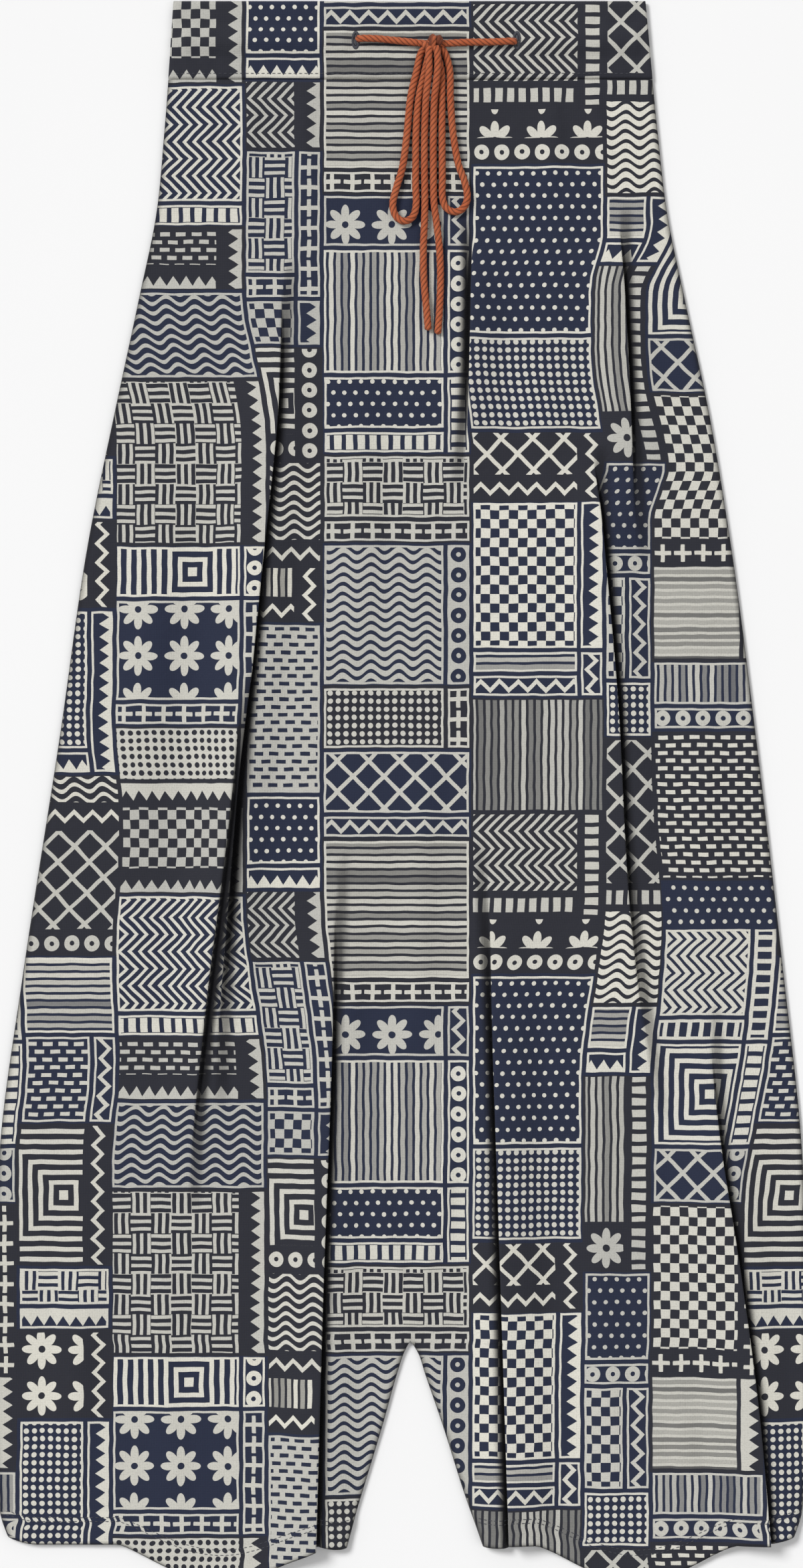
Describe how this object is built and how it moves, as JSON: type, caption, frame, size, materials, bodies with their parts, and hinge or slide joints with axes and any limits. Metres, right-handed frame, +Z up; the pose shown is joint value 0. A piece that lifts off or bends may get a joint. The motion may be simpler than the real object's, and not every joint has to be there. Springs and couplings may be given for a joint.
{
  "type": "loose drop-crotch trousers",
  "caption": "Loose drop-crotch trousers with a drawn waist casing and a drawcord tied in a bow, lying flat and face up with soft lengthwise folds.",
  "frame": {"origin": "on the surface the garment lies on, under the middle of its box", "axes": "+Y along the garment's length towards the waist edge, +X across it to the viewer's right, +Z up out of the surface, through the front"},
  "size_m": [0.5222, 1.015, 0.0177],
  "materials": {
    "printed_cloth": "matte woven cloth printed in cream on charcoal and navy",
    "casing_cloth": "the same printed cloth, doubled",
    "cord_yarn": "matte rust-coloured twisted yarn"
  },
  "bodies": {
    "root": {"front_panel": "printed_cloth", "back_panel": "printed_cloth", "waist_casing_front": "casing_cloth", "waist_casing_back": "casing_cloth", "cord_lead_left": "cord_yarn", "cord_lead_right": "cord_yarn", "cord_loop_left": "cord_yarn", "cord_loop_right": "cord_yarn", "cord_tail_left": "cord_yarn", "cord_tail_right": "cord_yarn", "bow_knot": "cord_yarn"}
  },
  "joints": []
}
